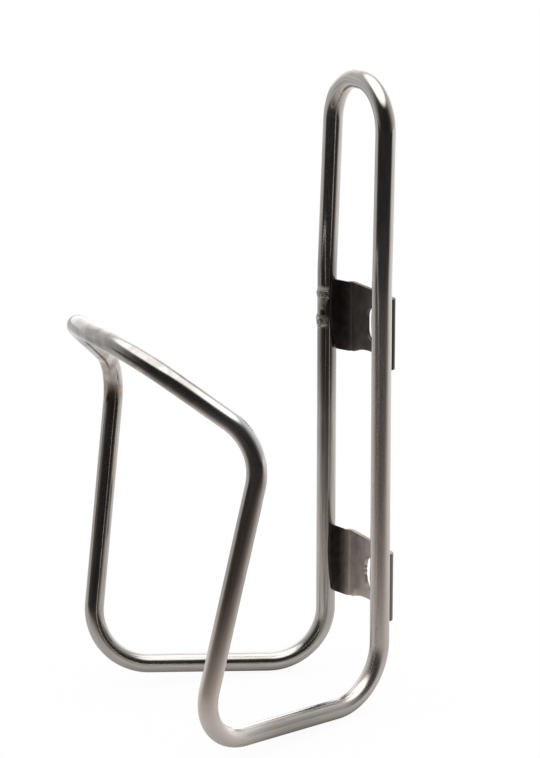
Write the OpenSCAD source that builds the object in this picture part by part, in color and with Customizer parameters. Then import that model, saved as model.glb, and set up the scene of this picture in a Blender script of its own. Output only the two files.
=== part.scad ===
// Water bottle cage bent from one length of round metal tube, with two
// sheet tabs that bolt it to a pair of bicycle frame bosses.
//
// Frame: millimetres. The origin is midway between the two slot centres, on
// the rear face of the tabs, which sits against the bicycle frame. +Z runs up
// the cage, -Y points away from the bicycle frame, towards the bottle, and
// +X is to the right as seen from the bottle's side.

/* [Tube] */
// Outside diameter of the tube
tube_d = 4.76; // [4.4:0.02:5.2]
// Wall thickness of the tube
tube_wall = 0.5; // [0.4:0.1:0.8]

/* [Rails] */
// Distance from the mounting face forward to the rail axes
rail_depth = 6; // [5.6:0.1:7]
// Half the distance between the rail axes at the heels
heel_half = 13.4; // [12.5:0.1:15]
// Half the distance between the rail axes where they start to lean
shoulder_half = 13; // [12:0.1:14]
// Height where the rails start to lean inward and back
shoulder_z = 44; // [43.5:0.5:50]
// Half the distance between the corners of the top arch
crown_half = 12; // [11.6:0.1:12.5]
// Height of the tube axis at the top of the arch
crown_z = 92.1; // [85:0.1:100]
// How far the top of the arch leans back from the rails
crown_lean = 1.4; // [0:0.1:2.5]

/* [Legs and arms] */
// Height of the heel corner, where each rail turns forward
heel_z = -58.8; // [-62:0.1:-56]
// Half the distance between the toe corners
toe_half = 29.5; // [27:0.1:32]
// Distance of the toe corners from the mounting face
toe_depth = 64.5; // [61:0.1:68]
// Height of the toe corner, where each leg turns up into an arm
toe_z = -53.9; // [-57:0.1:-51]
// Half the distance between the hook corners, the widest place
hook_half = 38.5; // [37:0.1:41]
// Distance of the hook corners from the mounting face
hook_depth = 51.2; // [48:0.1:54]
// Height of the hook corner, where each arm turns in over the bottle
hook_z = 19.8; // [16:0.1:24]

/* [Nose] */
// Half the distance between the brow corners beside the nose
brow_half = 18.2; // [17:0.1:20]
// Distance of the brow corners from the mounting face
brow_depth = 72.4; // [72:0.1:73]
// Height of the brow corners
brow_z = 38.3; // [35:0.1:42]
// Distance of the nose, the foremost place, from the mounting face
nose_depth = 74.9; // [74.4:0.1:75.4]
// Height of the nose
nose_z = 39.6; // [36:0.1:43]

/* [Bend radii of the tube axis] */
// Corners of the top arch
crown_r = 11.5; // [10:0.1:11.5]
// Gentle bend where the rails start to lean
shoulder_r = 80; // [40:5:120]
// Heels
heel_r = 13.7; // [12:0.1:15]
// Toes
toe_r = 14.3; // [12:0.1:16]
// Hooks
hook_r = 14.2; // [12:0.1:15.5]
// Brows
brow_r = 25.5; // [20:0.5:26]
// Nose
nose_r = 42; // [30:1:42]

/* [Mounting tabs] */
// Distance between the slot centres, the standard boss spacing
boss_spacing = 64; // [64:1:64]
// Height of a tab
tab_h = 17.4; // [16:0.1:19]
// Thickness of the tab sheet
tab_t = 1; // [0.8:0.1:1.2]
// Outside radius of the bend between the tab's web and its flanges
tab_bend_r = 1.7; // [1.4:0.1:2.6]
// Distance from the mounting face to the front edge of a flange
flange_depth = 6.8; // [6.5:0.1:7.2]
// Radius of a flange's curved front edge
flange_round = 40; // [30:1:60]
// How far the upper tab's flanges climb from their bend to their front edge
upper_lift = 1.5; // [0:0.1:2]
// The same for the lower tab
lower_lift = 2.6; // [0:0.1:3]
// Width of the bolt slots
slot_w = 5.3; // [5.2:0.1:5.6]
// End-to-end length of the bolt slots
slot_l = 8.4; // [7:0.1:10]
// Width of the arch cut in a tab's lower edge
arch_w = 17.2; // [14:0.2:17.2]
// Height of the arch cut in a tab's lower edge
arch_h = 1.9; // [1:0.1:2.6]

/* [Welds and joint] */
// Height of the butt joint in the left rail
seam_z = 37.8; // [35:0.1:40]
// Gap between the tube's two ends, filled by the weld's root
seam_gap = 0.5; // [0.3:0.1:0.8]
// Length of the sleeve inside the joint
sleeve_l = 24; // [20:1:30]
// Distance of the plug weld below the butt joint
plug_drop = 6.7; // [6:0.1:9]
// Diameter of the plug weld's hole in the tube
plug_d = 2.4; // [2:0.1:2.8]
// Length of the fillet welds between tabs and rails
bead_l = 15; // [10:0.5:16]

/* [Hidden] */
$fn = 64;

tube_r = tube_d / 2;
bore_r = tube_r - tube_wall;
rail_y = -rail_depth;
merge_l = 0.25;         // how far a straight runs into a bend
merge_t = 0.03;         // how much a bend's wall stands out on each side of a straight's
slip = 0.05;            // clearance between two pieces that slide together
sleeve_r = bore_r - merge_t - slip;
sleeve_wall = 0.6;
upper_z = boss_spacing / 2;
lower_z = -boss_spacing / 2;
tab_gap = 0.08;         // least space between a flange and its rail
front_high = 4;         // height of a flange's foremost place above the tab's middle
bead_r = 1;             // radius of the fillet bead before the rail and tab cut it
seam_bead_r = 1.3;      // section radius of the butt weld's crown
seam_bead_sink = 0.9;   // how far that section's centre lies below the tube's surface
cap_r = 2;              // radius of the plug weld's domed cap
cap_shift = 1;          // distance of that dome's centre from the tube axis
past = 1;               // how far a cutting shape runs past what it cuts
bright = [0.72, 0.70, 0.68];
sheet = [0.50, 0.47, 0.45];
weld_grey = [0.62, 0.60, 0.58];

// ---- The course of the tube axis ----

function left(p) = [-p[0], p[1], p[2]];
function unit(v) = v / norm(v);

crown = [crown_half, rail_y + crown_lean, crown_z];
shoulder = [shoulder_half, rail_y, shoulder_z];
heel = [heel_half, rail_y, heel_z];
toe = [toe_half, -toe_depth, toe_z];
hook = [hook_half, -hook_depth, hook_z];
brow = [brow_half, -brow_depth, brow_z];
nose = [0, -nose_depth, nose_z];

// Half distance between the rail axes at height z
function rail_half(z) =
    heel_half + (shoulder_half - heel_half) * (z - heel_z) / (shoulder_z - heel_z);
function left_rail(z) = [-rail_half(z), rail_y, z];
rail_dir = unit(left(shoulder) - left(heel));

// Corners of the axis and the bend radius at each, from the upper side of the
// butt joint once round the cage to the lower side
course = [
    [left_rail(seam_z + seam_gap / 2), 0],
    [left(shoulder), shoulder_r],
    [left(crown), crown_r],
    [crown, crown_r],
    [shoulder, shoulder_r],
    [heel, heel_r],
    [toe, toe_r],
    [hook, hook_r],
    [brow, brow_r],
    [nose, nose_r],
    [left(brow), brow_r],
    [left(hook), hook_r],
    [left(toe), toe_r],
    [left(heel), heel_r],
    [left_rail(seam_z - seam_gap / 2), 0]
];
last = len(course) - 1;

// Direction from corner i to the next one
function dir(i) = unit(course[i + 1][0] - course[i][0]);
// Angle that the axis turns through at corner i
function turn(i) = (i == 0 || i == last) ? 0 : acos(dir(i - 1) * dir(i));
// Length of straight that the bend at corner i takes up on each side
function setback(i) = course[i][1] * tan(turn(i) / 2);

// Places children with their +X, +Y and +Z along x, y and z, and their origin at o
module placed(o, x, y, z) {
    multmatrix([
        [x[0], y[0], z[0], o[0]],
        [x[1], y[1], z[1], o[1]],
        [x[2], y[2], z[2], o[2]],
        [0, 0, 0, 1]
    ])
        children();
}

// Places children at o with their +Z along up, and their +X near the cage's +X
// where up allows it
module along(o, up) {
    near = abs(up[0]) > 0.9 ? [0, 0, 1] : [1, 0, 0];
    y = unit(cross(up, near));
    placed(o, cross(y, up), y, up)
        children();
}

module ring_section(outer_r, inner_r) {
    difference() {
        circle(r = outer_r);
        circle(r = inner_r);
    }
}

// A straight runs a little way into the bends at its ends
module straight(i) {
    start = course[i][0] + dir(i) * (setback(i) - (i == 0 ? 0 : merge_l));
    end = course[i + 1][0] - dir(i) * (setback(i + 1) - (i + 1 == last ? 0 : merge_l));
    along(start, dir(i))
        linear_extrude(height = norm(end - start))
            ring_section(tube_r, bore_r);
}

// A bend's wall is a hair thicker than a straight's, so that their surfaces
// never coincide
module bend(i) {
    inward = unit(dir(i) - dir(i - 1) * (dir(i - 1) * dir(i)));
    start = course[i][0] - dir(i - 1) * setback(i);
    centre = start + inward * course[i][1];
    placed(centre, -inward, dir(i - 1), cross(-inward, dir(i - 1)))
        rotate_extrude(angle = turn(i), $fn = 96)
            translate([course[i][1], 0])
                ring_section(tube_r + merge_t, bore_r - merge_t);
}

// Origin at a place on the left rail's axis, +Z up the rail
module on_left_rail(z) {
    along(left_rail(z), rail_dir)
        children();
}

module plug_hole() {
    on_left_rail(seam_z - plug_drop)
        rotate([90, 0, 0])
            cylinder(d = plug_d, h = tube_r + past);
}

// ---- Pieces ----

// One tube, bent round until its two ends meet in the left rail
module tube_loop() {
    color(bright)
        difference() {
            union() {
                for (i = [0 : last - 1])
                    straight(i);
                for (i = [1 : last - 1])
                    bend(i);
            }
            plug_hole();
        }
}

// Short inner sleeve that lines up the tube's two ends
module joint_sleeve() {
    color(sheet)
        on_left_rail(seam_z)
            translate([0, 0, -sleeve_l / 2])
                linear_extrude(height = sleeve_l)
                    ring_section(sleeve_r, sleeve_r - sleeve_wall);
}

// Butt weld round the joint: a crown that stands proud and stops at the upper
// tab's flange, and a root in the gap
module seam_weld() {
    half = tab_half(upper_z);
    color(weld_grey)
        difference() {
            on_left_rail(seam_z)
                union() {
                    difference() {
                        rotate_extrude()
                            translate([tube_r - seam_bead_sink, 0])
                                circle(r = seam_bead_r, $fn = 32);
                        cylinder(r = tube_r, h = 4 * seam_bead_r, center = true);
                    }
                    translate([0, 0, -seam_gap / 2])
                        linear_extrude(height = seam_gap)
                            ring_section(tube_r, sleeve_r);
                }
            translate([-half, rail_y - tab_h / 2, upper_z - tab_h / 2])
                cube([2 * half, tab_h, 2 * tab_h]);
        }
}

// Plug weld on the rail's front: a domed cap, and a plug down to the sleeve
module plug_weld() {
    color(weld_grey)
        on_left_rail(seam_z - plug_drop)
            union() {
                difference() {
                    translate([0, -cap_shift, 0])
                        sphere(r = cap_r, $fn = 48);
                    cylinder(r = tube_r, h = 4 * cap_r, center = true);
                }
                difference() {
                    rotate([90, 0, 0])
                        cylinder(d = plug_d, h = tube_r + 0.2);
                    cylinder(r = sleeve_r, h = 4 * cap_r, center = true);
                }
            }
}

// Half the outside width of a tab centred at height z, which nests between the
// rails, cut down to a whole hundredth of a millimetre
function tab_half(z) = floor(100 * (rail_half(z + tab_h / 2) - tube_r - tab_gap)) / 100;

// A flange's outline: across is the distance forward, up is the height
module flange_outline(lift) {
    intersection() {
        polygon([
            [tab_bend_r, -tab_h / 2],
            [flange_depth + past, lift_at(lift) - tab_h / 2],
            [flange_depth + past, lift_at(lift) + tab_h / 2],
            [tab_bend_r, tab_h / 2]
        ]);
        translate([flange_depth - flange_round, front_high])
            circle(r = flange_round, $fn = 256);
    }
}

// Climb of a flange's outline where it runs past its front edge
function lift_at(lift) =
    lift * (flange_depth + past - tab_bend_r) / (flange_depth - tab_bend_r);

module flange(half, lift) {
    placed([half, 0, 0], [0, -1, 0], [0, 0, 1], [-1, 0, 0])
        linear_extrude(height = tab_t)
            flange_outline(lift);
}

module tab_bend(half) {
    translate([half - tab_bend_r, -tab_bend_r, -tab_h / 2])
        rotate_extrude(angle = 90)
            translate([tab_bend_r - tab_t, 0])
                square([tab_t, tab_h]);
}

// Runs along +Y through the whole sheet
module slot() {
    run = slot_l - slot_w;
    for (end = [-1, 1])
        translate([0, past, end * run / 2])
            rotate([90, 0, 0])
                cylinder(d = slot_w, h = tab_t + 2 * past);
    translate([-slot_w / 2, -tab_t - past, -run / 2])
        cube([slot_w, tab_t + 2 * past, run]);
}

module lower_arch() {
    arch_r = (pow(arch_w / 2, 2) + pow(arch_h, 2)) / (2 * arch_h);
    translate([0, past, arch_h - tab_h / 2 - arch_r])
        rotate([90, 0, 0])
            cylinder(r = arch_r, h = tab_t + 2 * past, $fn = 128);
}

// Sheet channel: a web with the bolt slot, and two flanges bent forward along the rails
module tab(z, lift) {
    half = tab_half(z);
    flat = half - tab_bend_r;
    color(sheet)
        translate([0, 0, z])
            difference() {
                union() {
                    translate([-flat, -tab_t, -tab_h / 2])
                        cube([2 * flat, tab_t, tab_h]);
                    for (side = [0, 1])
                        mirror([side, 0, 0]) {
                            tab_bend(half);
                            flange(half, lift);
                        }
                }
                slot();
                lower_arch();
            }
}

module upper_tab() {
    tab(upper_z, upper_lift);
}

module lower_tab() {
    tab(lower_z, lower_lift);
}

// Fillet weld in the crevice behind a rail, between the rail and the tab's flange
module flange_weld(z) {
    half = tab_half(z);
    rail = [rail_half(z), rail_y, z];
    bead_x = half + 0.7;
    bead_y = rail_y + 1.75;
    color(weld_grey)
        difference() {
            translate([bead_x, bead_y, z - bead_l / 2])
                cylinder(r = bead_r, h = bead_l, $fn = 32);
            along(rail, unit(shoulder - heel))
                cylinder(r = tube_r, h = 2 * tab_h, center = true);
            translate([half - 2 * bead_r, bead_y - 2 * bead_r, z - tab_h])
                cube([2 * bead_r, 4 * bead_r, 2 * tab_h]);
        }
}

module upper_weld_right() {
    flange_weld(upper_z);
}

module upper_weld_left() {
    mirror([1, 0, 0])
        flange_weld(upper_z);
}

module lower_weld_right() {
    flange_weld(lower_z);
}

module lower_weld_left() {
    mirror([1, 0, 0])
        flange_weld(lower_z);
}

tube_loop();
joint_sleeve();
seam_weld();
plug_weld();
upper_tab();
lower_tab();
upper_weld_right();
upper_weld_left();
lower_weld_right();
lower_weld_left();
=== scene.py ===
"""Looks for the water bottle cage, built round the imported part.

Metres, in the part's own frame: the origin is midway between the slot centres on
the tabs' rear faces, +Z is up, -Y is towards the bottle and +X is to the right.
"""

import math

import bpy
import numpy as np
from mathutils import Matrix, Vector, noise


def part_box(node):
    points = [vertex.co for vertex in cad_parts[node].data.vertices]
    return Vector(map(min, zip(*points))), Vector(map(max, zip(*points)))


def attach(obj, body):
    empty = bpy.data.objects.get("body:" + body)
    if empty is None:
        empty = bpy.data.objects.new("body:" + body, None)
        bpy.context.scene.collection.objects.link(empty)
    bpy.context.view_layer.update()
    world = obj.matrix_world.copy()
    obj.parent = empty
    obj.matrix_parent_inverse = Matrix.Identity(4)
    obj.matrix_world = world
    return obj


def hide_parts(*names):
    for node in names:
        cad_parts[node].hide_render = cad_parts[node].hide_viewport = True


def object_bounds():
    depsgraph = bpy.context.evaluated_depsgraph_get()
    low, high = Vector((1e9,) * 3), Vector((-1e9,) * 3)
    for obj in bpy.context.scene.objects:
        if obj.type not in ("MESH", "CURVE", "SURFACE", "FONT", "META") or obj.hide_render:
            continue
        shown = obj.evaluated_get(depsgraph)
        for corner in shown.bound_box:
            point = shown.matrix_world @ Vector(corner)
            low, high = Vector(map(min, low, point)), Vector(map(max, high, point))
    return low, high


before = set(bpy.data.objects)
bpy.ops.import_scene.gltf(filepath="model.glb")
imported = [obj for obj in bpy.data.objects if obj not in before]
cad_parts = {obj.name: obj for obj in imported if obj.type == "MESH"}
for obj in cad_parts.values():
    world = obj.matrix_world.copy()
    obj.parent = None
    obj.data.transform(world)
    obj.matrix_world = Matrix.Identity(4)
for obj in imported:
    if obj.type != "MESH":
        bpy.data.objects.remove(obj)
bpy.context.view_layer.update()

MM = 0.001

# Driving dimensions of the part
TUBE_R = 2.38 * MM
TUBE_WALL = 0.5 * MM
RAIL_Y = -6 * MM
HEEL_HALF, HEEL_Z = 13.4 * MM, -58.8 * MM
SHOULDER_HALF, SHOULDER_Z = 13 * MM, 44 * MM
CROWN_HALF, CROWN_Z, CROWN_LEAN = 12 * MM, 92.1 * MM, 1.4 * MM
TOE = Vector((29.5, -64.5, -53.9)) * MM
HOOK = Vector((38.5, -51.2, 19.8)) * MM
BROW = Vector((18.2, -72.4, 38.3)) * MM
NOSE = Vector((0, -74.9, 39.6)) * MM
CROWN_BEND, SHOULDER_BEND, HEEL_BEND, TOE_BEND = 11.5 * MM, 80 * MM, 13.7 * MM, 14.3 * MM
HOOK_BEND, BROW_BEND, NOSE_BEND = 14.2 * MM, 25.5 * MM, 42 * MM
SEAM_Z, SEAM_GAP, PLUG_DROP = 37.8 * MM, 0.5 * MM, 6.7 * MM
BOSS_SPACING = 64 * MM
TAB_H, TAB_T, TAB_BEND, TAB_GAP = 17.4 * MM, 1 * MM, 1.7 * MM, 0.08 * MM
FLANGE_DEPTH, FLANGE_ROUND, FRONT_HIGH = 6.8 * MM, 40 * MM, 4 * MM
UPPER_LIFT, LOWER_LIFT = 1.5 * MM, 2.6 * MM
SLOT_W, SLOT_L = 5.3 * MM, 8.4 * MM
ARCH_W, ARCH_H = 17.2 * MM, 1.9 * MM
BEAD_R = 1 * MM

# The camera: where it looks, and from which side, height and distance
VIEW_AZIMUTH, VIEW_ELEVATION, VIEW_ROLL = 61.6, 16.08, -0.19
VIEW_TARGET = Vector((0, -41, 20.8)) * MM
VIEW_DISTANCE = 611 * MM
VIEW_SHIFT_RIGHT, VIEW_SHIFT_UP = 10.58 * MM, 3.115 * MM
LENS_MM = 123.17

# How finely and how loosely the pieces are drawn
TINY = 1e-9                     # nearer than this, two places are the same
SIDES = 64                      # sides of the tube's section
BEND_STEP = math.radians(3)     # turn between two sections in a bend
STRAIGHT_STEP = 2.5 * MM        # distance between two sections in a straight
FLATTENING = 0.03               # how much a tight bend flattens the tube
TIGHT_BEND = 20 * MM            # bends below this radius flatten it
EDGE_ROUND = 0.13 * MM          # rounding of the tabs' cut edges
SCALLOP_DEPTH = 0.3 * MM        # depth of the bites in the lower slot's left edge
SCALLOPS = 2.5                  # how many bites that edge has
WELD_ROOT = 0.3 * MM            # how far a weld's underside lies below the tube's skin
WELD_LAP = 0.02 * MM            # how far a weld's rim dips under the skin
SEAM_BEAD_HALF, SEAM_BEAD_PROUD = 0.95 * MM, 0.25 * MM
PLUG_HALF_ROUND, PLUG_HALF_UP, PLUG_PROUD = 3.0 * MM, 1.9 * MM, 0.30 * MM
RING_RIPPLES = 26               # ripples once round the butt weld
RIPPLE_PITCH = 1.15 * MM        # distance between two ripples of a fillet weld
FILLET_FULLNESS = 0.96          # the fillets' radius as a share of the CAD's
FILLET_INSET = 0.05 * MM        # how far a fillet sits from the CAD's towards the middle
FILLET_SAG = 0.25 * MM          # how far its ripples hang at their sides

# The stage
FLOOR_HALF = 6.0                # half the floor's width
FLOOR_GLOW = 0.93               # evenly white share of the floor; the rest takes the shadow
CONTACT_REACH = 12 * MM         # how near a thing darkens the floor that the metal mirrors


# ---- Meshes ----

def make_object(name, verts, faces, uvs=None, smooth=True):
    """A mesh object; uvs holds one (u, v) per corner of each face."""
    mesh = bpy.data.meshes.new(name)
    mesh.from_pydata([tuple(v) for v in verts], [], faces)
    if uvs is not None:
        layer = mesh.uv_layers.new(name="course")
        layer.data.foreach_set("uv", np.array(uvs, np.float32).ravel())
    if smooth:
        mesh.shade_smooth()
    mesh.validate()
    mesh.update()
    obj = bpy.data.objects.new(name, mesh)
    bpy.context.scene.collection.objects.link(obj)
    return obj


def left(p):
    """The mirror of a place on the right."""
    return Vector((-p.x, p.y, p.z))


def rail_half(z):
    """Distance of a rail's axis from the middle plane at height z."""
    return HEEL_HALF + (SHOULDER_HALF - HEEL_HALF) * (z - HEEL_Z) / (SHOULDER_Z - HEEL_Z)


def rail(z, side):
    """Place on a rail's axis; side is 1 for the right rail and -1 for the left."""
    return Vector((side * rail_half(z), RAIL_Y, z))


HEEL = Vector((HEEL_HALF, RAIL_Y, HEEL_Z))
SHOULDER = Vector((SHOULDER_HALF, RAIL_Y, SHOULDER_Z))
CROWN = Vector((CROWN_HALF, RAIL_Y + CROWN_LEAN, CROWN_Z))


def tube_course():
    """Corners of the tube's axis and the bend radius at each, once round from the seam."""
    return [
        (rail(SEAM_Z + SEAM_GAP / 2, -1), 0), (left(SHOULDER), SHOULDER_BEND),
        (left(CROWN), CROWN_BEND), (CROWN, CROWN_BEND), (SHOULDER, SHOULDER_BEND),
        (HEEL, HEEL_BEND), (TOE, TOE_BEND), (HOOK, HOOK_BEND), (BROW, BROW_BEND),
        (NOSE, NOSE_BEND), (left(BROW), BROW_BEND), (left(HOOK), HOOK_BEND),
        (left(TOE), TOE_BEND), (left(HEEL), HEEL_BEND),
        (rail(SEAM_Z - SEAM_GAP / 2, -1), 0),
    ]


def axis_stations(course):
    """Stations along the axis: (place, direction, inward direction of the bend, flattening)."""
    out = []
    at = course[0][0]
    for i in range(1, len(course)):
        here = course[i][0]
        d0 = (here - course[i - 1][0]).normalized()
        if i + 1 < len(course):
            d1 = (course[i + 1][0] - here).normalized()
            angle = d0.angle(d1)
            radius = course[i][1]
            start = here - d0 * radius * math.tan(angle / 2)
        else:
            start = here
        n = max(1, math.ceil((start - at).length / STRAIGHT_STEP))
        for k in range(n + (1 if i + 1 == len(course) else 0)):
            out.append((at.lerp(start, k / n), d0, None, 0))
        if i + 1 < len(course):
            inward = (d1 - d0 * d1.dot(d0)).normalized()
            steps = max(2, math.ceil(angle / BEND_STEP))
            flat = FLATTENING if radius < TIGHT_BEND else 0
            for k in range(steps):
                a = angle * k / steps
                place = start + d0 * radius * math.sin(a) + inward * radius * (1 - math.cos(a))
                direction = d0 * math.cos(a) + inward * math.sin(a)
                across = inward * math.cos(a) - d0 * math.sin(a)
                out.append((place, direction, across, flat * math.sin(math.pi * k / steps)))
            at = start + d0 * radius * math.sin(angle) + inward * radius * (1 - math.cos(angle))
    return out


def build_tube():
    """The bent tube with its bore: an outer wall, an inner wall and two ends at the seam."""
    stations = axis_stations(tube_course())
    up = Vector((0, -1, 0))
    rings, travelled, last_place, last_dir = [], [], None, None
    length = 0.0
    for place, direction, across, flat in stations:
        if last_dir is not None:
            up.rotate(last_dir.rotation_difference(direction))
            length += (place - last_place).length
        up = (up - direction * up.dot(direction)).normalized()
        side = direction.cross(up)
        ring = []
        for radius in (TUBE_R, TUBE_R - TUBE_WALL):
            for j in range(SIDES):
                t = 2 * math.pi * j / SIDES
                offset = (up * math.cos(t) + side * math.sin(t)) * radius
                if across is not None and flat:
                    offset -= across * offset.dot(across) * flat
                ring.append(place + offset)
        rings.append(ring)
        travelled.append(length)
        last_place, last_dir = place, direction
    verts = [v for ring in rings for v in ring]
    faces, uvs = [], []
    girth = 2 * math.pi * TUBE_R
    per = 2 * SIDES

    def quad(a, b, c, d, u0, u1, v0, v1):
        faces.append((a, b, c, d))
        uvs.extend([(u0, v0), (u1, v0), (u1, v1), (u0, v1)])

    for i in range(len(rings) - 1):
        v0, v1 = travelled[i], travelled[i + 1]
        for j in range(SIDES):
            k = (j + 1) % SIDES
            u0, u1 = girth * j / SIDES, girth * (j + 1) / SIDES
            a, b = i * per, (i + 1) * per
            quad(a + j, a + k, b + k, b + j, u0, u1, v0, v1)
            a, b = a + SIDES, b + SIDES
            quad(a + k, a + j, b + j, b + k, u1, u0, v0, v1)
    for ring, flip in ((0, True), (len(rings) - 1, False)):
        base = ring * per
        for j in range(SIDES):
            k = (j + 1) % SIDES
            u0, u1 = girth * j / SIDES, girth * (j + 1) / SIDES
            v = travelled[ring]
            if flip:
                quad(base + k, base + j, base + SIDES + j, base + SIDES + k, u1, u0, v, v)
            else:
                quad(base + j, base + k, base + SIDES + k, base + SIDES + j, u0, u1, v, v)
    return make_object("bent_tube", verts, faces, uvs)


def wobble(p, scale, seed):
    """Smooth noise between about -1 and 1 at a place."""
    return noise.noise(Vector(p) * scale + Vector((seed, 3.1 * seed, -1.7 * seed)))


def build_ring_bead(name, z, half_width, proud, seed):
    """The butt weld: a lumpy ring round the left rail."""
    around, across = 144, 16
    centre = rail(z, -1)
    axis = (SHOULDER - HEEL).normalized()
    axis.x = -axis.x
    front = Vector((0, -1, 0))
    side = axis.cross(front).normalized()
    stop = -tab_half(BOSS_SPACING / 2)
    verts, faces = [], []
    for i in range(around):
        t = 2 * math.pi * i / around
        out = front * math.cos(t) + side * math.sin(t)
        drift = 0.16 * MM * wobble(out, 1.6, seed)
        ripple = 0.5 + 0.5 * math.cos(RING_RIPPLES * t + 1.5 * wobble(out, 2.5, seed + 5))
        lump = 1 + 0.25 * wobble(out, 3.2, seed + 9)
        for j in range(across):
            a = 2 * math.pi * j / across
            c, s = math.cos(a), math.sin(a)
            height = proud * lump * (0.82 + 0.18 * ripple) if c > 0 else WELD_ROOT
            width = half_width * (1 + 0.12 * wobble(out * (1 if s > 0 else -1), 4, seed + 2))
            r = TUBE_R - WELD_LAP + height * c
            p = centre + out * r + axis * (width * s + drift)
            p.x = min(p.x, stop)
            verts.append(p)
    for i in range(around):
        for j in range(across):
            a, b = i * across, ((i + 1) % around) * across
            k = (j + 1) % across
            faces.append((a + j, b + j, b + k, a + k))
    return make_object(name, verts, faces)


def tab_half(z):
    """Half the outside width of a tab centred at height z, to a hundredth of a millimetre."""
    return math.floor(100 * (rail_half(z + TAB_H / 2) - TUBE_R - TAB_GAP) / MM) / 100 * MM


def spread(a, b, n):
    """n + 1 evenly spaced values from a to b."""
    return [a + (b - a) * k / n for k in range(n + 1)]


def build_tab(name, z, lift, scallop):
    """A sheet channel: the web with its slot and arch, two bends and two climbing flanges."""
    half = tab_half(z)
    flat = half - TAB_BEND
    turn = math.pi / 2 * (TAB_BEND - TAB_T / 2)
    slot_r, run = SLOT_W / 2, (SLOT_L - SLOT_W) / 2
    arch_r = ((ARCH_W / 2) ** 2 + ARCH_H ** 2) / (2 * ARCH_H)
    low_rows, mid_rows, bend_cols, flange_cols, slot_steps = 8, 14, 12, 10, 16
    rows = 2 * low_rows + mid_rows

    # columns: place across the developed sheet, then the share of the flange reached
    slot_cols = [-slot_r * math.cos(math.pi * k / slot_steps) for k in range(slot_steps + 1)]
    outer = ([(s, 0) for s in spread(slot_r, flat, bend_cols)[1:]]
             + [(s, 0) for s in spread(flat, flat + turn, bend_cols)[1:]]
             + [(flat + turn, g) for g in spread(0, 1, flange_cols)[1:]])
    cols = [(-s, g) for s, g in reversed(outer)] + [(s, 0) for s in slot_cols] + outer

    def bottom(s):
        """Height of the lower edge, arched under the slot."""
        if abs(s) >= ARCH_W / 2:
            return -TAB_H / 2
        return ARCH_H - TAB_H / 2 - arch_r + math.sqrt(arch_r ** 2 - s ** 2)

    def on_sheet(s, g, v, depth):
        """Place of a point of the developed sheet; depth 0 is the rear face, 1 the front."""
        side, a = (1 if s >= 0 else -1), abs(s)
        if a <= flat:
            return Vector((s, -TAB_T * depth, z + v))
        r = TAB_BEND - TAB_T * depth
        if g == 0:
            t = (a - flat) / (TAB_BEND - TAB_T / 2)
            return Vector((side * (flat + r * math.sin(t)), r * math.cos(t) - TAB_BEND, z + v))
        # the curved front edge and the climb depend on one another, so they are settled in turns
        ahead, up = TAB_BEND, v
        for _ in range(6):
            front = FLANGE_DEPTH - FLANGE_ROUND + math.sqrt(FLANGE_ROUND ** 2
                                                            - (up - FRONT_HIGH) ** 2)
            ahead = TAB_BEND + g * (front - TAB_BEND)
            up = v + lift * (ahead - TAB_BEND) / (FLANGE_DEPTH - TAB_BEND)
        return Vector((side * (flat + r), -ahead, z + up))

    verts, ids = [], []
    for i, (s, g) in enumerate(cols):
        inside = abs(s) < slot_r - TINY
        arc = math.sqrt(max(0.0, slot_r ** 2 - s ** 2)) if abs(s) < slot_r else 0.0
        lows = spread(bottom(s), -run - arc, low_rows)
        highs = spread(run + arc, TAB_H / 2, low_rows)
        mids = [None] * (mid_rows - 1) if inside else spread(-run, run, mid_rows)[1:-1]
        column = []
        for v in lows + mids + highs:
            if v is None:
                column.append(None)
                continue
            shift = 0.0
            if scallop and abs(s + slot_r) < TINY and abs(v) < run:
                shift = -scallop * abs(math.sin(SCALLOPS * math.pi * (v + run) / (2 * run)))
            column.append(len(verts))
            verts.append(on_sheet(s + shift, g, v, 0))
            verts.append(on_sheet(s + shift, g, v, 1))
        ids.append(column)
    faces, edges = [], {}
    for i in range(len(cols) - 1):
        for j in range(rows):
            q = (ids[i][j], ids[i + 1][j], ids[i + 1][j + 1], ids[i][j + 1])
            if None in q:
                continue
            faces.append(q[::-1])
            faces.append(tuple(k + 1 for k in q))
            for a, b in zip(q, q[1:] + q[:1]):
                edges[frozenset((a, b))] = None if frozenset((a, b)) in edges else (a, b)
    faces.extend((a, b, b + 1, a + 1) for a, b in (e for e in edges.values() if e))
    obj = make_object(name, verts, faces)
    bevel = obj.modifiers.new("edges", "BEVEL")
    bevel.width = EDGE_ROUND
    bevel.segments = 3
    bevel.limit_method = "ANGLE"
    bevel.angle_limit = math.radians(50)
    bevel.harden_normals = True
    return obj


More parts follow.
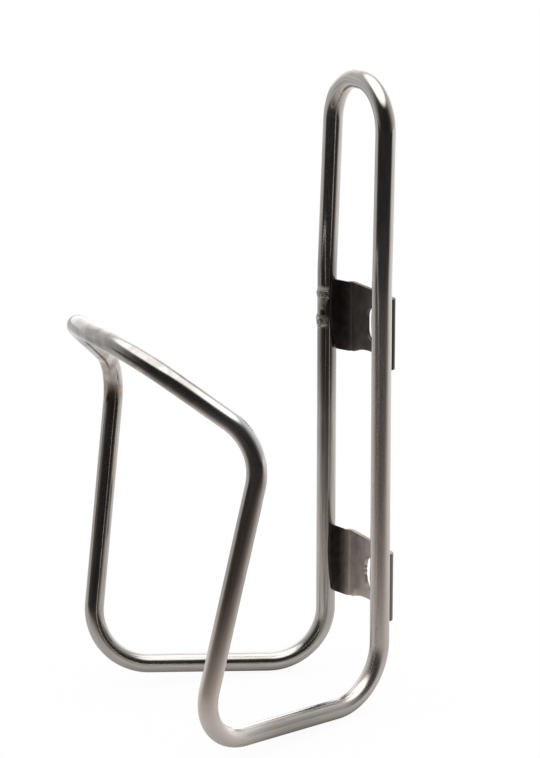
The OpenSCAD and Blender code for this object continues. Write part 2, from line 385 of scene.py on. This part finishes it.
def build_patch(name, z, half_round, half_up, proud, seed):
    """The plug weld: an irregular dome that hugs the front of the left rail."""
    rings, spokes = 14, 72
    centre = rail(z, -1)
    verts, faces = [], []

    def place(arc, rise, height):
        t = arc / TUBE_R
        r = TUBE_R + height
        return centre + Vector((math.sin(t) * r, -math.cos(t) * r, rise))

    for floor_side in (False, True):
        verts.append(place(0, 0, -WELD_ROOT if floor_side else proud))
        for i in range(1, rings + 1):
            f = i / rings
            for j in range(spokes):
                t = 2 * math.pi * j / spokes
                out = Vector((math.cos(t), math.sin(t), 0))
                edge = 1 + 0.16 * wobble(out, 1.7, seed) + 0.06 * wobble(out, 6, seed + 3)
                arc, rise = half_round * edge * f * out.x, half_up * edge * f * out.y
                dome = proud * (1 - f ** 2.4)
                rough = 0.12 * MM * wobble(Vector((arc, rise, 0)) / MM, 1.3, seed + 7) * (1 - f ** 4)
                height = -WELD_ROOT if floor_side else dome + rough - WELD_LAP
                verts.append(place(arc, rise, height))
    half = len(verts) // 2
    for base, flip in ((0, False), (half, True)):
        for j in range(spokes):
            k = (j + 1) % spokes
            tri = (base, base + 1 + j, base + 1 + k)
            faces.append(tri[::-1] if flip else tri)
            for i in range(rings - 1):
                a, b = base + 1 + i * spokes, base + 1 + (i + 1) * spokes
                q = (a + j, b + j, b + k, a + k)
                faces.append(q[::-1] if flip else q)
    rim, under = 1 + (rings - 1) * spokes, half + 1 + (rings - 1) * spokes
    for j in range(spokes):
        k = (j + 1) % spokes
        faces.append((rim + k, rim + j, under + j, under + k))
    return make_object(name, verts, faces)


def build_fillet(name, node, side, seed):
    """A fillet weld: a row of overlapping ripples in the crevice behind a rail."""
    lo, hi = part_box(node)
    mid = (lo + hi) / 2
    length = hi.z - lo.z
    tilt = (HEEL_HALF - SHOULDER_HALF) / (SHOULDER_Z - HEEL_Z)
    count, around = 110, 28
    verts, faces = [], []
    for i in range(count + 1):
        f = i / count
        z = lo.z + length * f
        ends = math.sqrt(max(0.0, 1 - abs(2 * f - 1) ** 8))
        phase = (z / RIPPLE_PITCH) % 1
        ripple = 0.90 + 0.13 * (1 - phase) ** 1.5
        swell = 1 + 0.06 * wobble((0, 0, z / MM), 0.35, seed)
        r = max(WELD_LAP, FILLET_FULLNESS * BEAD_R * ends * ripple * swell)
        x = mid.x - side * (tilt * (z - mid.z) + FILLET_INSET)
        for j in range(around):
            t = 2 * math.pi * j / around
            verts.append(Vector((x + r * math.cos(t), mid.y + r * math.sin(t),
                                 z - FILLET_SAG * math.cos(t) ** 2 * ends)))
    for i in range(count):
        for j in range(around):
            k = (j + 1) % around
            a, b = i * around, (i + 1) * around
            faces.append((a + j, a + k, b + k, b + j))
    faces.append(tuple(range(around))[::-1])
    faces.append(tuple(count * around + j for j in range(around)))
    return make_object(name, verts, faces)


# ---- Materials ----

class Tree:
    """Short hand for wiring a node tree."""

    def __init__(self, tree):
        self.tree = tree
        tree.nodes.clear()

    def add(self, kind, inputs=None, **props):
        """A node with its properties set and its inputs fed."""
        n = self.tree.nodes.new(kind)
        for key, value in props.items():
            setattr(n, key, value)
        for key, value in (inputs or {}).items():
            self.feed(n.inputs[key], value)
        return n

    def feed(self, socket, value):
        """Link another node's output to a socket, or set the socket's own value."""
        if isinstance(value, bpy.types.NodeSocket):
            self.tree.links.new(value, socket)
        else:
            socket.default_value = value

    def place(self):
        """A point's place on the part."""
        return self.add("ShaderNodeTexCoord").outputs["Object"]

    def parts(self, vector):
        """A vector's x, y and z."""
        n = self.add("ShaderNodeSeparateXYZ", {"Vector": vector})
        return n.outputs["X"], n.outputs["Y"], n.outputs["Z"]

    def math(self, operation, a, b=0.0, c=0.0, clamp=False):
        """One sum on up to three values."""
        n = self.add("ShaderNodeMath", {0: a, 1: b, 2: c}, operation=operation, use_clamp=clamp)
        return n.outputs[0]

    def ramp_between(self, value, low, high, to_low=0.0, to_high=1.0):
        """value from low to high becomes to_low to to_high, smoothly and no further."""
        n = self.add("ShaderNodeMapRange", {"Value": value, "From Min": low, "From Max": high,
                                            "To Min": to_low, "To Max": to_high},
                     interpolation_type="SMOOTHSTEP")
        return n.outputs["Result"]

    def product(self, first, *others):
        """All the values multiplied together."""
        for other in others:
            first = self.math("MULTIPLY", first, other)
        return first

    def total(self, start, *shares):
        """start plus each (share, weight) pair's product."""
        for share, weight in shares:
            start = self.math("MULTIPLY_ADD", share, weight, start)
        return start

    def zone(self, *edges):
        """1 inside a soft-edged region; an edge is (coordinate, where it is 0, where it is 1) in mm."""
        return self.product(*(self.ramp_between(c, low * MM, high * MM) for c, low, high in edges))

    def coats(self, base, *layers):
        """Colours laid over base; a layer is (how much it covers, its colour)."""
        for cover, tone in layers:
            base = self.mix(cover, base, tone)
        return base

    def mix(self, factor, a, b):
        """Colour a where factor is 0, turning to colour b where it is 1."""
        n = self.add("ShaderNodeMix", data_type="RGBA")
        self.feed(n.inputs[0], factor)
        self.feed(n.inputs[6], a)
        self.feed(n.inputs[7], b)
        return n.outputs[2]

    def noise(self, vector, scale, detail=3.0, roughness=0.55):
        """Cloudy values from 0 to 1."""
        n = self.add("ShaderNodeTexNoise", {"Vector": vector, "Scale": scale, "Detail": detail,
                                            "Roughness": roughness})
        return n.outputs["Fac"]

    def along(self, vector, direction):
        """How far a vector reaches along a direction."""
        n = self.add("ShaderNodeVectorMath", {0: vector, 1: tuple(direction)},
                     operation="DOT_PRODUCT")
        return n.outputs["Value"]

    def stretched(self, vector, sx, sy, sz):
        """A vector scaled per axis, so that noise fed with it is drawn out along the small ones."""
        n = self.add("ShaderNodeMapping", {"Vector": vector, "Scale": (sx, sy, sz)})
        return n.outputs["Vector"]

    def ramp(self, value, stops):
        """A colour that changes with value; stops are (value, grey or red, green, blue)."""
        low, high = stops[0][0], stops[-1][0]
        share = self.math("DIVIDE", self.math("SUBTRACT", value, low), high - low, clamp=True)
        n = self.add("ShaderNodeValToRGB", {"Fac": share})
        ramp = n.color_ramp
        while len(ramp.elements) > 1:
            ramp.elements.remove(ramp.elements[0])
        for i, (at, grey) in enumerate(stops):
            at = (at - low) / (high - low)
            e = ramp.elements[0] if i == 0 else ramp.elements.new(at)
            e.position = at
            e.color = (*grey, 1) if isinstance(grey, tuple) else (grey, grey, grey, 1)
        return n.outputs["Color"]

    def seen_or_mirrored(self, seen, mirrored):
        """One shader for what the camera sees directly and one for what metal mirrors."""
        path = self.add("ShaderNodeLightPath")
        return self.add("ShaderNodeMixShader", {0: path.outputs["Is Glossy Ray"], 1: seen,
                                                2: mirrored}).outputs["Shader"]


def colour(r, g, b):
    """An opaque linear colour."""
    return (r, g, b, 1.0)


BLACK = colour(0, 0, 0)
WHITE = colour(1, 1, 1)


def new_material(name):
    """An empty node material and the tree to wire it with."""
    mat = bpy.data.materials.new(name)
    mat.use_nodes = True
    return mat, Tree(mat.node_tree)


def finish_metal(t, base, roughness, height, distance):
    """Bare metal with a colour, a roughness and a relief that is distance high."""
    bump = t.add("ShaderNodeBump", {"Height": height, "Distance": distance, "Strength": 1.0})
    shader = t.add("ShaderNodeBsdfPrincipled", {
        "Base Color": base, "Metallic": 1.0, "Roughness": roughness,
        "Normal": bump.outputs["Normal"]})
    t.add("ShaderNodeOutputMaterial", {"Surface": shader.outputs["BSDF"]})


def tube_material():
    """Polished tube: drawn along its length, dulled low down, darkened and ground at the weld, painted
    lighter on the right foot and rail and with a painted highlight on the upper arms' tops.
    """
    mat, t = new_material("polished_tube")
    at = t.place()
    x, y, z = t.parts(at)
    uv = t.add("ShaderNodeUVMap", uv_map="course").outputs["UV"]
    fine = t.noise(t.stretched(uv, 1, 0.02, 1), 9000, 2)
    medium = t.noise(t.stretched(uv, 1, 0.05, 1), 2200, 3)
    blotch = t.noise(at, 260, 4)
    sway = t.noise(at, 45, 2)

    # height below which the polish turns satin, on the rails and on the arms
    on_arms = t.zone((y, -15, -35))
    on_rails = t.math("SUBTRACT", 1.0, on_arms)
    rail_level = t.math("MULTIPLY_ADD", x, 1.5, 30 * MM)
    arm_level = -35 * MM
    level = t.total(t.product(on_rails, rail_level), (on_arms, arm_level))
    satin = t.zone((t.math("SUBTRACT", z, level), 12, -22))

    # the left rail: heat-darkened by its welds, ground round the closing one and part sanded
    left_rail = t.zone((x, -4, -10), (y, -25, -15))
    sooted = t.product(left_rail, t.zone((z, 4, 24), (z, 60, 42)), 0.5)
    ground = t.product(left_rail, t.zone((z, 29, 30), (z, 40.5, 39), (y, -12, -9), (y, -6.2, -7.5)))
    sanded = t.product(ground, t.ramp_between(blotch, 0.42, 0.58))

    # brushed duller on the right arm's foot and, less so, down the right rail; both also painted
    # lighter there, as painted light
    right_side = t.zone((x, 3, 8))
    foot_dull_and_lit = t.product(right_side, t.zone((y, -38, -56), (z, -10, -46)))
    rail_dull_and_lit = t.product(right_side, t.zone((y, -30, -12), (z, 70, 15)))

    # duller on the upper arms and painted lighter on their tops as a painted highlight, stained where
    # they turn the nose and browned at the left hook
    top_dull_and_lit = t.zone((y, -42, -56), (z, 12, 26))
    on_nose = t.zone((y, -52, -68), (z, 20, 32))
    on_hook = t.zone((x, -22, -30), (z, 2, 16), (z, 36, 28))
    stained = t.product(on_nose, t.ramp_between(blotch, 0.38, 0.62, 0.55, 0.85))
    browned = t.product(on_hook, t.ramp_between(blotch, 0.40, 0.62, 0.0, 0.6))

    rough = t.total(0.12, (satin, 0.06), (top_dull_and_lit, 0.04), (foot_dull_and_lit, 0.12), (rail_dull_and_lit, 0.09),
                    (t.math("SUBTRACT", medium, 0.5), 0.12), (sanded, 0.25))
    straw = t.noise(t.stretched(uv, 1, 0.35, 1), 150, 2)
    bare = t.mix(t.ramp_between(medium, 0.35, 0.65), colour(0.50, 0.475, 0.45),
                 colour(0.60, 0.575, 0.55))
    base = t.coats(bare,
                   (t.ramp_between(straw, 0.52, 0.68, 0.0, 0.5), colour(0.60, 0.49, 0.38)),
                   # painted light: the right foot and, less so, the right rail painted lighter
                   (foot_dull_and_lit, colour(0.97, 0.915, 0.87)),
                   (t.product(rail_dull_and_lit, 0.6), colour(0.74, 0.675, 0.64)),
                   # painted highlight: the upper arms' tops painted lighter
                   (t.product(top_dull_and_lit, 0.8), colour(0.86, 0.84, 0.82)),
                   (stained, colour(0.34, 0.32, 0.305)),
                   (browned, colour(0.36, 0.27, 0.20)),
                   (sooted, colour(0.16, 0.135, 0.12)),
                   (ground, colour(0.17, 0.15, 0.13)),
                   (t.product(sanded, 0.7), colour(0.60, 0.58, 0.55)))
    height = t.total(0.0, (fine, 0.012), (medium, 0.03), (sway, 0.9))
    finish_metal(t, base, rough, height, 0.12 * MM)
    return mat


def tab_material():
    """Sheet metal: mottled, with painted light and shade: the upper tab darker and tinted, the lower
    lighter, the flanges darker than the web.
    """
    mat, t = new_material("satin_sheet")
    at = t.place()
    x, y, z = t.parts(at)
    mottle = t.noise(at, 420, 5, 0.6)
    grain = t.noise(t.stretched(at, 1, 1, 0.12), 5200, 2)
    cloud = t.noise(at, 140, 3)
    upper = t.zone((z, -10, 10))
    # painted light and shade: the lower web painted light, the upper web painted dark and tinted; the
    # mottle is the sheet's own
    lit_lower_web = t.mix(t.ramp_between(mottle, 0.35, 0.65), colour(0.80, 0.715, 0.665),
                      colour(0.96, 0.87, 0.82))
    shaded_upper_web = t.mix(t.ramp_between(cloud, 0.4, 0.6), colour(0.30, 0.235, 0.20),
                      colour(0.25, 0.235, 0.215))
    shaded_upper_web = t.mix(t.ramp_between(mottle, 0.4, 0.7, 0.0, 0.4), shaded_upper_web,
                      colour(0.44, 0.40, 0.37))
    # painted shade: the web darkened towards the slot, more on the upper tab
    by_slot = t.zone((t.math("ABSOLUTE", x), 8.5, 2.5))
    slot_shade = t.product(by_slot, t.math("MULTIPLY_ADD", upper, 0.2, 0.35))
    web = t.mix(slot_shade, t.mix(upper, lit_lower_web, shaded_upper_web), BLACK)

    # painted shade: the flanges are darkest on the inside and dark on their outer faces; the web's
    # colour fades in over the bend, with a painted highlight and shade set by how the face turns
    facing_x, _, facing_z = t.parts(t.add("ShaderNodeNewGeometry").outputs["Normal"])
    sideways = t.math("ABSOLUTE", facing_x)
    outward = t.product(facing_x, t.math("SIGN", x))
    outside = t.mix(upper, colour(0.21, 0.19, 0.17), colour(0.070, 0.060, 0.052))
    inside = t.mix(t.ramp_between(mottle, 0.3, 0.7), colour(0.028, 0.024, 0.022),
                   colour(0.050, 0.044, 0.041))
    by_depth = t.ramp(y, [(-4.2 * MM, 0.0), (-2.8 * MM, 0.16), (-1.6 * MM, 0.46),
                          (-1.1 * MM, 0.75), (-1.02 * MM, 1.0)])
    by_turn = t.ramp(sideways, [(0.03, 1.0), (0.18, 0.55), (0.5, 0.85), (1.0, 1.0)])
    base = t.mix(t.product(by_depth, by_turn), inside, web)
    cut_edge = t.ramp_between(t.math("ABSOLUTE", facing_z), 0.3, 0.9, 0.0, 0.6)
    base = t.coats(base,
                   (t.ramp_between(outward, 0.4, 0.95), outside),
                   (cut_edge, colour(0.05, 0.045, 0.042)))
    rough = t.math("MULTIPLY_ADD", t.math("SUBTRACT", mottle, 0.5), 0.20, 0.46)
    finish_metal(t, base, rough, t.total(0.0, (mottle, 0.6), (grain, 0.15)), 0.05 * MM)
    return mat


def weld_material():
    """Weld metal: rough, speckled, straw and grey."""
    mat, t = new_material("weld_metal")
    at = t.place()
    speck = t.noise(at, 1900, 4, 0.65)
    cloud = t.noise(at, 500, 3)
    base = t.mix(t.ramp_between(speck, 0.42, 0.62), colour(0.20, 0.185, 0.17),
                 colour(0.64, 0.62, 0.59))
    base = t.mix(t.ramp_between(cloud, 0.5, 0.65, 0.0, 0.4), base, colour(0.40, 0.34, 0.24))
    rough = t.math("MULTIPLY_ADD", speck, 0.3, 0.16)
    finish_metal(t, base, rough, speck, 0.08 * MM)
    return mat


def sleeve_material():
    """Drawn inner sleeve: dull grey with a grain along it."""
    mat, t = new_material("drawn_sleeve")
    at = t.place()
    grain = t.noise(t.stretched(at, 1, 1, 0.04), 6000, 2)
    base = t.mix(grain, colour(0.30, 0.29, 0.28), colour(0.50, 0.49, 0.47))
    rough = t.math("MULTIPLY_ADD", grain, 0.2, 0.35)
    finish_metal(t, base, rough, grain, 0.03 * MM)
    return mat


def paint(obj, mat):
    """Give an object its look as its one material."""
    obj.data.materials.clear()
    obj.data.materials.append(mat)


# ---- The object ----

def build_pieces():
    """Every piece of the look with the CAD node that it stands for, its look and its slot."""
    tube_look, tab_look, weld_look = tube_material(), tab_material(), weld_material()
    tab_z = BOSS_SPACING / 2
    pieces = [
        (build_tube(), "tube_loop", tube_look, "tube"),
        (build_ring_bead("seam_bead", SEAM_Z, SEAM_BEAD_HALF, SEAM_BEAD_PROUD, 4),
         "seam_weld", weld_look, "weld"),
        (build_patch("plug_patch", SEAM_Z - PLUG_DROP, PLUG_HALF_ROUND, PLUG_HALF_UP, PLUG_PROUD, 2),
         "plug_weld", weld_look, "weld"),
        (build_tab("upper_sheet", tab_z, UPPER_LIFT, 0), "upper_tab", tab_look, "tab"),
        (build_tab("lower_sheet", -tab_z, LOWER_LIFT, SCALLOP_DEPTH), "lower_tab", tab_look, "tab"),
    ]
    fillets = [(level, side) for level in ("upper", "lower") for side in ("right", "left")]
    for seed, (level, side) in enumerate(fillets):
        node = f"{level}_weld_{side}"
        bead = build_fillet(f"{level}_fillet_{side}", node, 1 if side == "right" else -1, seed)
        pieces.append((bead, node, weld_look, "weld"))
    return pieces


for obj, node, look, slot_name in build_pieces():
    paint(obj, look)
    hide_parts(node)
    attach(obj, "root")

paint(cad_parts["joint_sleeve"], sleeve_material())

# ---- Studio ----

scene = bpy.context.scene
az, el = math.radians(VIEW_AZIMUTH), math.radians(VIEW_ELEVATION)
towards = Vector((math.sin(az), -math.cos(az), 0))   # level direction to the camera
to_right = Vector((math.cos(az), math.sin(az), 0))   # level direction to its right


def build_camera():
    """The photo's viewpoint."""
    back = Vector((math.sin(az) * math.cos(el), -math.cos(az) * math.cos(el), math.sin(el)))
    facing = (-back).to_track_quat("-Z", "Y").to_matrix()
    turned = facing @ Matrix.Rotation(math.radians(VIEW_ROLL), 3, "Z")
    right, upward = turned.col[0].copy(), turned.col[1].copy()
    data = bpy.data.cameras.new("camera")
    data.lens = LENS_MM
    data.clip_start, data.clip_end = 0.01, 20
    camera = bpy.data.objects.new("camera", data)
    camera.location = (VIEW_TARGET + back * VIEW_DISTANCE + right * VIEW_SHIFT_RIGHT
                       + upward * VIEW_SHIFT_UP)
    camera.rotation_mode = "QUATERNION"
    camera.rotation_quaternion = turned.to_quaternion()
    scene.collection.objects.link(camera)
    scene.camera = camera
    scene.view_settings.view_transform = "Standard"


def build_floor():
    """A pale floor under the cage. What the metal mirrors of it darkens towards the camera."""
    floor_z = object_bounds()[0].z
    corners = [(FLOOR_HALF * sx, FLOOR_HALF * sy, floor_z)
               for sx, sy in ((-1, -1), (1, -1), (1, 1), (-1, 1))]
    floor = make_object("floor", corners, [(0, 1, 2, 3)], smooth=False)
    mat, t = new_material("pale_floor")
    at = t.place()
    away = t.along(at, towards - 0.12 * to_right)
    aside = t.along(at, to_right)
    lit = t.ramp(away, [
        (-0.30, 1.0), (-0.12, 0.86), (-0.04, 0.72), (0.0, (0.66, 0.64, 0.62)),
        (0.025, (0.60, 0.58, 0.56)), (0.055, (0.46, 0.43, 0.41)), (0.085, (0.30, 0.27, 0.25)),
        (0.105, (0.225, 0.193, 0.175)), (0.14, (0.130, 0.105, 0.094)),
        (0.18, (0.065, 0.052, 0.047)), (0.23, (0.033, 0.028, 0.026)),
        (0.34, (0.036, 0.033, 0.032)), (0.50, 0.018)])
    dimmed = t.product(t.zone((aside, -40, -260), (away, 40, -60)), 0.34)
    lit = t.mix(dimmed, lit, BLACK)
    shade = t.add("ShaderNodeAmbientOcclusion", {"Color": lit, "Distance": CONTACT_REACH}, samples=6)
    mirrored = t.add("ShaderNodeEmission", {"Color": shade.outputs["Color"], "Strength": 1.0})
    grain = t.noise(at, 60, 2)
    pale = t.mix(grain, colour(0.90, 0.90, 0.90), colour(0.92, 0.92, 0.92))
    plain = t.add("ShaderNodeBsdfDiffuse", {"Color": pale})
    glow = t.add("ShaderNodeEmission", {"Color": WHITE, "Strength": 1.0})
    seen = t.add("ShaderNodeMixShader", {0: FLOOR_GLOW, 1: plain.outputs["BSDF"],
                                         2: glow.outputs["Emission"]})
    t.add("ShaderNodeOutputMaterial", {"Surface": t.seen_or_mirrored(
        seen.outputs["Shader"], mirrored.outputs["Emission"])})
    floor.data.materials.append(mat)


def build_world():
    """Soft light from all round; in the metal's reflections the camera's side is dark."""
    world = bpy.data.worlds.new("studio")
    world.use_nodes = True
    scene.world = world
    t = Tree(world.node_tree)
    way = t.add("ShaderNodeTexCoord").outputs["Generated"]
    rise = t.parts(way)[2]
    walls = t.ramp(t.along(way, towards), [
        (-1.0, 1.75), (-0.9, 1.5), (-0.8, 1.25), (-0.6, 0.74), (-0.2, 0.60), (0.05, 0.38),
        (0.25, 0.22), (0.42, (0.085, 0.078, 0.074)), (0.6, (0.030, 0.026, 0.024)), (1.0, 0.012)])
    box_above = t.ramp_between(rise, 0.70, 0.86)
    sky = t.mix(box_above, walls, colour(2.0, 2.0, 1.97))
    mirrored = t.add("ShaderNodeBackground", {"Color": sky, "Strength": 1.0})
    plain = t.add("ShaderNodeBackground", {"Color": WHITE, "Strength": 1.12})
    t.add("ShaderNodeOutputWorld", {"Surface": t.seen_or_mirrored(
        plain.outputs["Background"], mirrored.outputs["Background"])})


build_camera()
build_floor()
build_world()
